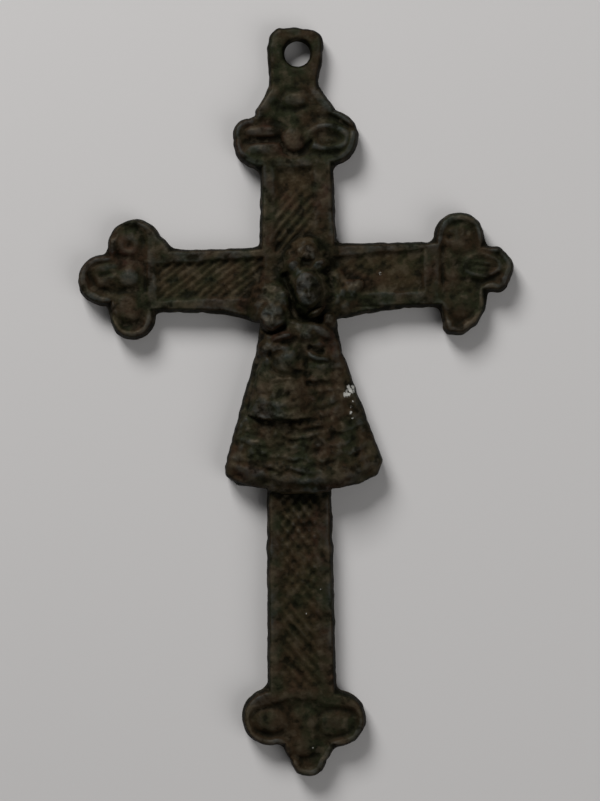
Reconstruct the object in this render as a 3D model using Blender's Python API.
"""Pilgrim cross: a small cast bronze pendant, one piece, lying on its flat back.

Four arms end in trefoils, the upper one carries a flat eye with a round hole, and a robed
figure with a child on its arm stands in relief where the arms meet. Places are worked out in
millimetres from the crossing of the arms, +X to the right and +Y towards the eye, and moved
at the end so that the middle of the outline lies over the origin.
"""
import math
from dataclasses import dataclass

import bmesh
import bpy
import numpy as np
from mathutils import Matrix, Vector

MM = 0.001

# Levels of the casting above its flat back
PLATE = 2.0            # top of the raised borders and rims
FIELD = 1.2            # floor of the sunk panels and of the trefoils
EDGE_ROUND = 0.35      # rounding of the front edges

# Webs that fill the corners between the side arms and the gown
WEB = 1.4              # thickness
WEB_LEFT = 7.0         # crossing to the left web's thin end
WEB_RIGHT = 8.2
WEB_LAP = 0.4          # how far they run into the arms and the gown

# Width of what stands round the sunk fields
BORDER = 1.25          # beside the arms' panels
RIM = 0.6              # round the trefoils
RIDGE_HALF_WIDTH = 0.22
RIDGE_RISE = 0.4       # height of the hatching above the field
RIDGE_PITCH = 0.85
RIDGE_SEAT = 0.3       # how far the hatching runs into the borders
RING_HALF_WIDTH = 0.3  # of the rings in the trefoils
SEAT = 0.12            # how far the middle of a bud or ridge lies below the field
HIDDEN = 0.2           # how far the first slab of each join keeps inside the forms that cover it
CUT_REACH = 1.0        # how far a cutter stands beyond what it cuts
CORE_SHORT = 1.2       # how far an arm's strip ends before the middle of its tip

# Suspension eye
EYE_REACH = 20.85      # crossing to the top of the eye
EYE_WIDTH = 4.75
EYE_NECK = 4.25        # width where it leaves the trefoil
EYE_HEIGHT = 4.1       # above the neck
SHOULDER_WIDTH = 6.3   # of the sloping shoulders under the neck
SHOULDER_DROP = 2.3    # neck to the widest place of the shoulders
EYE_THICKNESS = 1.7
EYE_CORNER = 1.2
EYE_HOLE = 2.3         # diameter
EYE_WALL = 1.02        # metal between the hole and the top edge
EYE_HOLE_SHIFT = 0.2   # the hole lies a little to the right

# Main gown, a bell that flares from the waist to the hem
GOWN_TOP = -3.4        # height of its upper edge beside the crossing
GOWN_LENGTH = 12.5     # down its side edges
GOWN_SHIFT = 0.1       # its middle lies a little to the right at the hem
GOWN_WAIST = 3.15      # half width
GOWN_HEM = 6.5         # half width
GOWN_SAG = 1.75        # how far the hem's middle hangs below its corners
GOWN_EDGE = 1.5        # level of its side edges
GOWN_CREST = 3.5       # level of its middle at the waist
GOWN_FLARE = 0.35      # rise of its middle towards the hem
GOWN_BAND = 0.78       # pitch of the horizontal bands
BAND_RISE = 0.22

# Child's gown, carried on the main gown's left
CHILD_TOP = Vector((-1.75, -4.2))
CHILD_LENGTH = 7.0
CHILD_WAIST = 0.75
CHILD_HEM = 2.5
CHILD_SAG = 0.6
CHILD_EDGE = 3.1
CHILD_CREST = 4.1
CHILD_FLARE = 0.2
CHILD_LEAN = 0.02      # sideways drift of its middle for each mm down
CHILD_BAND = 1.0

# Heads and crowns
HEAD = Vector((0.62, -1.35))
HEAD_HALF = Vector((1.05, 1.5, 1.7))
HEAD_LEVEL = 3.2
CHILD_HEAD = Vector((-2.15, -3.05))
CHILD_HEAD_HALF = Vector((1.1, 1.2, 1.35))
CHILD_HEAD_LEVEL = 3.1
VEIL_HALF = Vector((2.35, 3.4, 1.6))
VEIL_SHIFT = Vector((-0.3, -1.4))        # from the middle of the head
CROWN_FOOT = Vector((0.1, 1.25))         # from the middle of the head
CROWN_HALF = 1.15
CROWN_HEIGHT = 2.9
CROWN_LEVEL = 3.9
CHILD_CROWN_FOOT = Vector((0.15, 1.1))
CHILD_CROWN_HALF = 0.95
CHILD_CROWN_HEIGHT = 2.3
CHILD_CROWN_LEVEL = 3.6
CROWN_SPREAD = 1.2                       # width of a band at its top over that at its foot
CROWN_BAND = 0.45                        # share of the height that the band takes
CROWN_LEAVES = 3
CROWN_LEAF_SEAT = 0.9                    # how far the leaves' middles lie below the band's top
CROWN_LEAF_RISE = 0.8

# Right sleeve and hand
SLEEVE = Vector((3.3, -1.6, PLATE))
SLEEVE_HALF = Vector((1.5, 0.62, 0.9))
SLEEVE_TURN = 30                         # degrees
HAND = Vector((2.85, -3.45, 2.4))
HAND_HALF = Vector((0.75, 0.8, 0.9))

# Shoulders and chest, under the heads
BODICE_HALF = 2.6      # half width at the shoulders
BODICE_LAP = 1.2       # how far they run into the gown
BODICE_LEVEL = 2.65

SIDES = 28             # facets round a lobe
BUD_SIDES = 12

# So many forms share planes and touch edges here that the exact solver leaves gaps
SOLVER = "MANIFOLD"


@dataclass
class Lobe:
    """A round lobe of a trefoil, placed from the arm's neck."""

    out: float
    side: float
    radius: float


@dataclass
class Bud:
    """A raised oval in a trefoil; a hollow one is a ring."""

    out: float
    side: float
    half_out: float
    half_side: float
    rise: float = 0.85
    turn: float = 0.0
    hollow: bool = False


@dataclass
class Hatch:
    """Parallel ridges across a panel, at an angle from +X; they stop short of its outer end."""

    angle: float
    stop_short: float = 0.0
    pitch: float = RIDGE_PITCH
    rise: float = RIDGE_RISE


@dataclass
class Arm:
    """An arm of the cross: a bordered panel, a bar at its neck and a trefoil beyond it."""

    name: str
    heading: float          # degrees from +X
    neck: float             # crossing to the bar
    bar: float              # width of the bar
    shift: float            # offset of the arm's middle line to its side
    half_root: float        # half width at the crossing
    half_neck: float        # half width at the neck
    panel_start: float
    tip: Lobe
    lobes: tuple
    buds: tuple
    hatches: tuple

    def place(self, out, side, level=0.0):
        """The point that lies out along the arm from the crossing and to its left by side."""
        turn = math.radians(self.heading)
        ahead = Vector((math.cos(turn), math.sin(turn)))
        left = Vector((-ahead.y, ahead.x))
        spot = ahead * out + left * side
        return Vector((spot.x, spot.y, level))

    @property
    def panel_half(self):
        """Half the width of the sunk panel."""
        return (self.half_root + self.half_neck) / 2 - BORDER


UPPER = Arm(
    name="upper", heading=90, neck=9.6, bar=0.6, shift=-0.05, half_root=3.15, half_neck=2.95,
    panel_start=2.7, tip=Lobe(3.4, 0.0, 2.6), lobes=(Lobe(1.9, 2.9, 2.23), Lobe(2.06, -2.97, 2.32)),
    buds=(
        Bud(1.95, 0.18, 1.4, 1.0), Bud(4.75, -0.04, 0.85, 1.15), Bud(3.3, -0.1, 1.1, 1.0, 0.6),
        Bud(1.75, 2.7, 0.75, 1.6, hollow=True), Bud(1.9, -2.6, 0.85, 1.5, turn=8, hollow=True),
    ),
    hatches=(Hatch(57),),
)
LEFT = Arm(
    name="left", heading=180, neck=11.65, bar=1.1, shift=0.06, half_root=2.65, half_neck=2.55,
    panel_start=2.9, tip=Lobe(4.53, -0.11, 2.09), lobes=(Lobe(1.86, -2.8, 2.28), Lobe(2.14, 3.04, 1.83)),
    buds=(
        Bud(4.5, -0.1, 1.35, 1.1), Bud(2.65, -0.3, 1.15, 1.05), Bud(2.6, 2.3, 1.15, 1.4),
        Bud(2.45, -3.1, 1.2, 1.1),
    ),
    hatches=(Hatch(35),),
)
RIGHT = Arm(
    name="right", heading=0, neck=10.4, bar=1.3, shift=0.07, half_root=2.7, half_neck=2.62,
    panel_start=3.1, tip=Lobe(5.6, 0.47, 2.1), lobes=(Lobe(3.1, 3.18, 2.04), Lobe(3.04, -3.2, 1.74)),
    buds=(
        Bud(4.95, 0.5, 1.35, 0.9, 0.9, -4, hollow=True), Bud(4.95, 0.5, 0.95, 0.28, 0.8, -4),
        Bud(2.95, 3.0, 1.3, 1.2), Bud(2.9, -2.3, 1.3, 1.35), Bud(2.6, 0.4, 0.75, 0.95, 0.7),
    ),
    hatches=(Hatch(35, pitch=0.95),),
)
SHAFT = Arm(
    name="shaft", heading=270, neck=34.2, bar=0.95, shift=-0.22, half_root=2.55, half_neck=2.78,
    panel_start=GOWN_LENGTH - GOWN_TOP, tip=Lobe(5.6, 0.2, 1.69),
    lobes=(Lobe(2.34, -2.62, 2.55), Lobe(2.52, 2.74, 2.28)),
    buds=(
        Bud(4.2, -0.2, 1.5, 1.2), Bud(2.6, -2.7, 1.1, 1.75), Bud(2.8, 2.5, 1.15, 1.6),
        Bud(2.8, -0.2, 1.2, 2.2, 0.7),
    ),
    hatches=(Hatch(-50, pitch=1.0), Hatch(50, stop_short=7.8, pitch=1.0, rise=0.3)),
)
ARMS = (UPPER, LEFT, RIGHT, SHAFT)

# Middle of the outline, which lies over the origin
REACH_LEFT = LEFT.neck + LEFT.tip.out + LEFT.tip.radius
REACH_RIGHT = RIGHT.neck + RIGHT.tip.out + RIGHT.tip.radius
REACH_DOWN = SHAFT.neck + SHAFT.tip.out + SHAFT.tip.radius
MIDDLE = Vector(((REACH_RIGHT - REACH_LEFT) / 2, (EYE_REACH - REACH_DOWN) / 2, 0.0))


def clear_scene():
    """Remove what the opened file holds."""
    for found in list(bpy.data.objects):
        bpy.data.objects.remove(found, do_unlink=True)


def collection(name):
    """A new collection of the scene."""
    made = bpy.data.collections.new(name)
    bpy.context.scene.collection.children.link(made)
    return made


def form(name, bm, group):
    """Turn a bmesh in millimetres into a guide solid of the group, in metres."""
    bmesh.ops.recalc_face_normals(bm, faces=bm.faces)
    bm.transform(Matrix.Scale(MM, 4) @ Matrix.Translation(-MIDDLE))
    mesh = bpy.data.meshes.new(name)
    bm.to_mesh(mesh)
    bm.free()
    made = bpy.data.objects.new(name, mesh)
    made.hide_render = True
    made.display_type = "WIRE"
    group.objects.link(made)
    return made


def round_front(bm, top, width):
    """Round the edges that lie wholly at the level top."""
    edges = [e for e in bm.edges if all(abs(v.co.z - top) < 1e-4 for v in e.verts)]
    rim = [e for e in edges if any(f.normal.z < 0.5 for f in e.link_faces)]
    bmesh.ops.bevel(bm, geom=rim, offset=width, segments=1, affect="EDGES")


def disc(name, group, centre, radius, bottom, top, rounding=0.0):
    """An upright cylinder, its front edge rounded."""
    bm = bmesh.new()
    stand = Matrix.Translation((centre.x, centre.y, (bottom + top) / 2))
    bmesh.ops.create_cone(
        bm, cap_ends=True, segments=SIDES, radius1=radius, radius2=radius, depth=top - bottom, matrix=stand)
    bm.normal_update()
    if rounding:
        round_front(bm, top, rounding)
    return form(name, bm, group)


def slab(name, group, outline, bottom, top, rounding=0.0):
    """A flat outline, given anticlockwise, raised from bottom to top, its front edge rounded."""
    bm = bmesh.new()
    base = bm.faces.new([bm.verts.new((x, y, bottom)) for x, y in outline])
    lifted = bmesh.ops.extrude_face_region(bm, geom=[base])["geom"]
    bmesh.ops.translate(
        bm, vec=(0, 0, top - bottom), verts=[g for g in lifted if isinstance(g, bmesh.types.BMVert)])
    bmesh.ops.recalc_face_normals(bm, faces=bm.faces)
    if rounding:
        round_front(bm, top, rounding)
    return form(name, bm, group)


def lump(name, group, centre, half, turn=0.0, sides=BUD_SIDES):
    """An ellipsoid, its half sizes given, turned about the upright by turn degrees."""
    bm = bmesh.new()
    stand = Matrix.Translation(centre) @ Matrix.Rotation(math.radians(turn), 4, "Z")
    spot = stand @ Matrix.Diagonal((*half, 1))
    bmesh.ops.create_uvsphere(bm, u_segments=sides, v_segments=sides // 2, radius=1.0, matrix=spot)
    return form(name, bm, group)


def ring(name, group, centre, half_long, half_wide, rise, turn=0.0):
    """An oval ring: points on an ellipse, each with a small upright oval round it."""
    around = np.linspace(0, 2 * math.pi, 18, endpoint=False)
    section = np.linspace(0, 2 * math.pi, 6, endpoint=False)
    a, s = np.meshgrid(around, section, indexing="ij")
    x = (half_long + RING_HALF_WIDTH * np.cos(s)) * np.cos(a)
    y = (half_wide + RING_HALF_WIDTH * np.cos(s)) * np.sin(a)
    z = rise * np.sin(s)
    bm = bmesh.new()
    grid = [[bm.verts.new(p) for p in row] for row in np.stack([x, y, z], axis=-1)]
    for i, row in enumerate(grid):
        after = grid[(i + 1) % len(grid)]
        for j in range(len(row)):
            k = (j + 1) % len(row)
            bm.faces.new((row[j], after[j], after[k], row[k]))
    bm.transform(Matrix.Translation(centre) @ Matrix.Rotation(math.radians(turn), 4, "Z"))
    return form(name, bm, group)


def draped(name, group, top, bottom):
    """A solid under a draped surface: the grid of points top, walls round it and a flat floor."""
    bm = bmesh.new()
    grid = [[bm.verts.new(p) for p in row] for row in top]
    for upper, lower in zip(grid, grid[1:]):
        for j in range(len(upper) - 1):
            bm.faces.new((upper[j], lower[j], lower[j + 1], upper[j + 1]))
    right, left = [row[-1] for row in grid[:-1]], [row[0] for row in grid[:0:-1]]
    rim = grid[0][:-1] + right + grid[-1][:0:-1] + left
    floor = [bm.verts.new((v.co.x, v.co.y, bottom)) for v in rim]
    for i, vert in enumerate(rim):
        k = (i + 1) % len(rim)
        bm.faces.new((vert, rim[k], floor[k], floor[i]))
    bm.faces.new(floor)
    return form(name, bm, group)


def arm_outline(arm, inset, start, end):
    """Corners of the arm's tapered strip between start and end, drawn in by inset at its sides."""
    corners = []
    for out, sign in ((start, -1), (end, -1), (end, 1), (start, 1)):
        half = arm.half_root + (arm.half_neck - arm.half_root) * out / arm.neck - inset
        corners.append(arm.place(out, arm.shift + sign * half).xy)
    return corners


def add_arm(arm, outline, fields):
    """The arm's strip and lobes, and what is sunk in them."""
    core = arm.neck + arm.tip.out - CORE_SHORT
    slab(f"{arm.name}_strip", outline, arm_outline(arm, 0, 0, core), 0, PLATE, EDGE_ROUND)
    above = PLATE + CUT_REACH
    slab(f"{arm.name}_panel", fields, arm_outline(arm, BORDER, arm.panel_start, arm.neck), FIELD, above)
    slab(f"{arm.name}_core", fields, arm_outline(arm, BORDER, arm.neck + arm.bar, core), FIELD, above)
    for number, lobe in enumerate((arm.tip, *arm.lobes)):
        centre = arm.place(arm.neck + lobe.out, lobe.side)
        disc(f"{arm.name}_lobe_{number}", outline, centre, lobe.radius, 0, PLATE, EDGE_ROUND)
        disc(f"{arm.name}_dish_{number}", fields, centre, lobe.radius - RIM, FIELD, above)


def add_trefoil_relief(arm, relief):
    """The bar across the neck, and the buds and rings in the trefoil."""
    bar = arm_outline(arm, HIDDEN, arm.neck, arm.neck + arm.bar)
    slab(f"{arm.name}_bar", relief, bar, FIELD / 2, PLATE, EDGE_ROUND / 2)
    for number, bud in enumerate(arm.buds):
        centre = arm.place(arm.neck + bud.out, bud.side, FIELD - SEAT)
        name = f"{arm.name}_bud_{number}"
        turn = arm.heading + bud.turn
        if bud.hollow:
            ring(name, relief, centre, bud.half_out, bud.half_side, bud.rise, turn)
        else:
            lump(name, relief, centre, Vector((bud.half_out, bud.half_side, bud.rise)), turn)


def add_hatching(arm, hatch, relief, label):
    """Ridges across the panel: each line is cut off where it reaches the borders."""
    turn = math.radians(hatch.angle - arm.heading)
    along, across = math.cos(turn), math.sin(turn)
    reach = arm.panel_half + RIDGE_SEAT
    spread = reach * abs(along / across)
    start, end = arm.panel_start - RIDGE_SEAT, arm.neck - hatch.stop_short + RIDGE_SEAT
    count = int((end - start + 2 * spread) / hatch.pitch)
    for number in range(count + 1):
        middle = start - spread + number * hatch.pitch
        limits = sorted(((start - middle) / along, (end - middle) / along))
        first = max(limits[0], -reach / abs(across))
        last = min(limits[1], reach / abs(across))
        if last - first < 2 * RIDGE_SEAT:
            continue
        centre = middle + along * (first + last) / 2
        side = arm.shift + across * (first + last) / 2
        bm = bmesh.new()
        size = Matrix.Diagonal((last - first, RIDGE_HALF_WIDTH * math.sqrt(2), hatch.rise * math.sqrt(2), 1))
        tilt = Matrix.Rotation(math.radians(45), 4, "X")
        bmesh.ops.create_cube(bm, size=1.0, matrix=tilt)
        bmesh.ops.transform(bm, matrix=size, verts=bm.verts)
        spot = Matrix.Translation(arm.place(centre, side, FIELD - SEAT))
        spot @= Matrix.Rotation(math.radians(hatch.angle), 4, "Z")
        bmesh.ops.transform(bm, matrix=spot, verts=bm.verts)
        form(f"{arm.name}_{label}_{number}", bm, relief)


def bell(top, length, waist, hem, sag, edge, crest, flare, drift, band, columns):
    """Grid of a bell-shaped gown.

    Across, u runs from -1 to 1, and down, v from 0 at the waist to 1 at the hem. The half width
    grows evenly from waist to hem, each row hangs lower in its middle by sag times v, the middle
    stands above the side edges by the root of 1 - u squared, and a ripple of the given pitch
    makes the bands.
    """
    rows = 2 * round(length / band) + 1
    v, u = np.meshgrid(np.linspace(0, 1, rows), np.linspace(-1, 1, columns), indexing="ij")
    half = waist + (hem - waist) * v ** 0.9
    u = np.sign(u) * np.abs(u) ** 0.8
    x = top.x + drift * v * length + u * half
    y = top.y - v * length - sag * (0.35 + 0.65 * v) * (1 - u ** 2)
    ripple = np.where(np.arange(rows) % 2 == 0, BAND_RISE / 2, -BAND_RISE / 2)[:, None]
    bulge = np.sqrt(np.clip(1 - u ** 2, 0, 1))
    z = edge + (crest + flare * v - edge) * bulge + ripple * bulge
    return np.stack([x, y, z], axis=-1)


def add_figures(relief):
    """The crowned figure, its gown, and the crowned child before it."""
    gown = bell(
        Vector((GOWN_SHIFT / 2, GOWN_TOP)), GOWN_LENGTH, GOWN_WAIST, GOWN_HEM, GOWN_SAG, GOWN_EDGE,
        GOWN_CREST, GOWN_FLARE, GOWN_SHIFT / GOWN_LENGTH, GOWN_BAND, 15)
    draped("gown", relief, gown, 0.0)
    child = bell(
        CHILD_TOP, CHILD_LENGTH, CHILD_WAIST, CHILD_HEM, CHILD_SAG, CHILD_EDGE, CHILD_CREST, CHILD_FLARE,
        CHILD_LEAN, CHILD_BAND, 9)
    draped("child_gown", relief, child, FIELD)
    lump("veil", relief, (*(HEAD + VEIL_SHIFT), PLATE), VEIL_HALF, 0, 20)
    low = GOWN_TOP - BODICE_LAP
    bodice = [
        Vector((-GOWN_WAIST, low)), Vector((GOWN_WAIST, low)), Vector((BODICE_HALF, HEAD.y)),
        Vector((-BODICE_HALF, HEAD.y))]
    slab("bodice", relief, bodice, FIELD / 2, BODICE_LEVEL, EDGE_ROUND)
    lump("head", relief, (*HEAD, HEAD_LEVEL), HEAD_HALF, 0, 16)
    lump("child_head", relief, (*CHILD_HEAD, CHILD_HEAD_LEVEL), CHILD_HEAD_HALF, 0, 16)
    add_crown("crown", relief, HEAD + CROWN_FOOT, CROWN_HALF, CROWN_HEIGHT, CROWN_LEVEL)
    child_foot = CHILD_HEAD + CHILD_CROWN_FOOT
    add_crown("child_crown", relief, child_foot, CHILD_CROWN_HALF, CHILD_CROWN_HEIGHT, CHILD_CROWN_LEVEL)
    lump("sleeve", relief, SLEEVE, SLEEVE_HALF, SLEEVE_TURN)
    lump("hand", relief, HAND, HAND_HALF)


def add_crown(name, relief, foot, half, height, level):
    """A band that widens upwards, with leaves standing on it."""
    wide = half * CROWN_SPREAD
    band = height * CROWN_BAND
    outline = [foot + Vector(corner) for corner in ((-half, 0), (half, 0), (wide, band), (-wide, band))]
    slab(f"{name}_band", relief, outline, FIELD / 2, level, EDGE_ROUND)
    for number in range(CROWN_LEAVES):
        side = (number - (CROWN_LEAVES - 1) / 2) * wide * 0.72
        tall = height * (0.5 if side else 0.72)
        spot = foot + Vector((side, band))
        half_sizes = Vector((wide * 0.36, tall * 0.6, CROWN_LEAF_RISE))
        lump(f"{name}_leaf_{number}", relief, (*spot, level - CROWN_LEAF_SEAT), half_sizes, 0, 10)


def add_eye(outline, cutters):
    """The flat eye at the top, a square tab with round corners; returns the cutter of its hole."""
    half = EYE_WIDTH / 2
    points = []
    for x, y, first in (
            (half - EYE_CORNER, EYE_REACH - EYE_CORNER, 0), (EYE_CORNER - half, EYE_REACH - EYE_CORNER, 90)):
        for turn in np.radians(first + np.linspace(0, 90, 7)):
            points.append(Vector((x + EYE_CORNER * math.cos(turn), y + EYE_CORNER * math.sin(turn))))
    neck = EYE_REACH - EYE_HEIGHT
    shoulder = neck - SHOULDER_DROP
    narrow, wide = EYE_NECK / 2, SHOULDER_WIDTH / 2
    tab = [Vector((narrow, shoulder)), Vector((narrow, neck)), *points, Vector((-narrow, neck)),
           Vector((-narrow, shoulder))]
    slab("eye", outline, tab, 0, EYE_THICKNESS, EDGE_ROUND)
    slope = [Vector(corner) for corner in (
        (wide, UPPER.neck), (wide, shoulder), (narrow, neck), (-narrow, neck), (-wide, shoulder),
        (-wide, UPPER.neck))]
    slab("shoulders", outline, slope, 0, PLATE, EDGE_ROUND)
    centre = Vector((EYE_HOLE_SHIFT, EYE_REACH - EYE_WALL - EYE_HOLE / 2))
    return disc("eye_hole", cutters, centre, EYE_HOLE / 2, -CUT_REACH, EYE_THICKNESS + CUT_REACH)


def add_webs(outline):
    """The thin webs that fill the corners between the side arms and the gown."""
    for side, reach, arm in ((-1, WEB_LEFT, LEFT), (1, WEB_RIGHT, RIGHT)):
        low = -arm.half_root + WEB_LAP
        inner = side * (GOWN_WAIST - WEB_LAP)
        corners = [Vector((side * reach, low)), Vector((inner, low)), Vector((inner, GOWN_TOP - WEB_LAP))]
        slab(f"{arm.name}_web", outline, corners, 0, WEB)


def bronze():
    """Cast bronze gone dark brown: a metal that is nearly black where it isn't rubbed."""
    made = bpy.data.materials.new("cast_bronze_dark_patina")
    made.use_nodes = True
    shader = made.node_tree.nodes["Principled BSDF"]
    shader.inputs["Base Color"].default_value = (0.055, 0.043, 0.03, 1)
    shader.inputs["Metallic"].default_value = 0.6
    shader.inputs["Roughness"].default_value = 0.5
    return made


def join(target, group):
    """Join the target with every solid of a collection."""
    step = target.modifiers.new(f"union {group.name}", "BOOLEAN")
    step.operation = "UNION"
    step.operand_type = "COLLECTION"
    step.collection = group
    step.solver = SOLVER


def cut(target, cutter):
    """Take the cutter away from the target."""
    step = target.modifiers.new(f"cut {cutter.name}", "BOOLEAN")
    step.operation = "DIFFERENCE"
    step.object = cutter
    step.solver = SOLVER


def main():
    """Build the cross."""
    clear_scene()
    parts = collection("pilgrim cross")
    outline, fields = collection("outline forms"), collection("sunk fields")
    relief, cutters = collection("relief forms"), collection("cutters")
    for arm in ARMS:
        add_arm(arm, outline, fields)
        add_trefoil_relief(arm, relief)
        for number, hatch in enumerate(arm.hatches):
            add_hatching(arm, hatch, relief, f"ridge_{number}")
    hole = add_eye(outline, cutters)
    add_webs(outline)
    add_figures(relief)

    first = arm_outline(SHAFT, HIDDEN, HIDDEN, SHAFT.neck)
    base = slab("pilgrim_cross", parts, first, 0, PLATE - HIDDEN)
    base.hide_render = False
    base.display_type = "TEXTURED"
    base.data.materials.append(bronze())
    inner = arm_outline(SHAFT, BORDER + HIDDEN, SHAFT.panel_start + HIDDEN, SHAFT.neck - HIDDEN)
    sunk = slab("sunk_field", cutters, inner, FIELD + HIDDEN, PLATE + CUT_REACH + HIDDEN)
    join(sunk, fields)
    join(base, outline)
    cut(base, sunk)
    join(base, relief)
    cut(base, hole)


main()
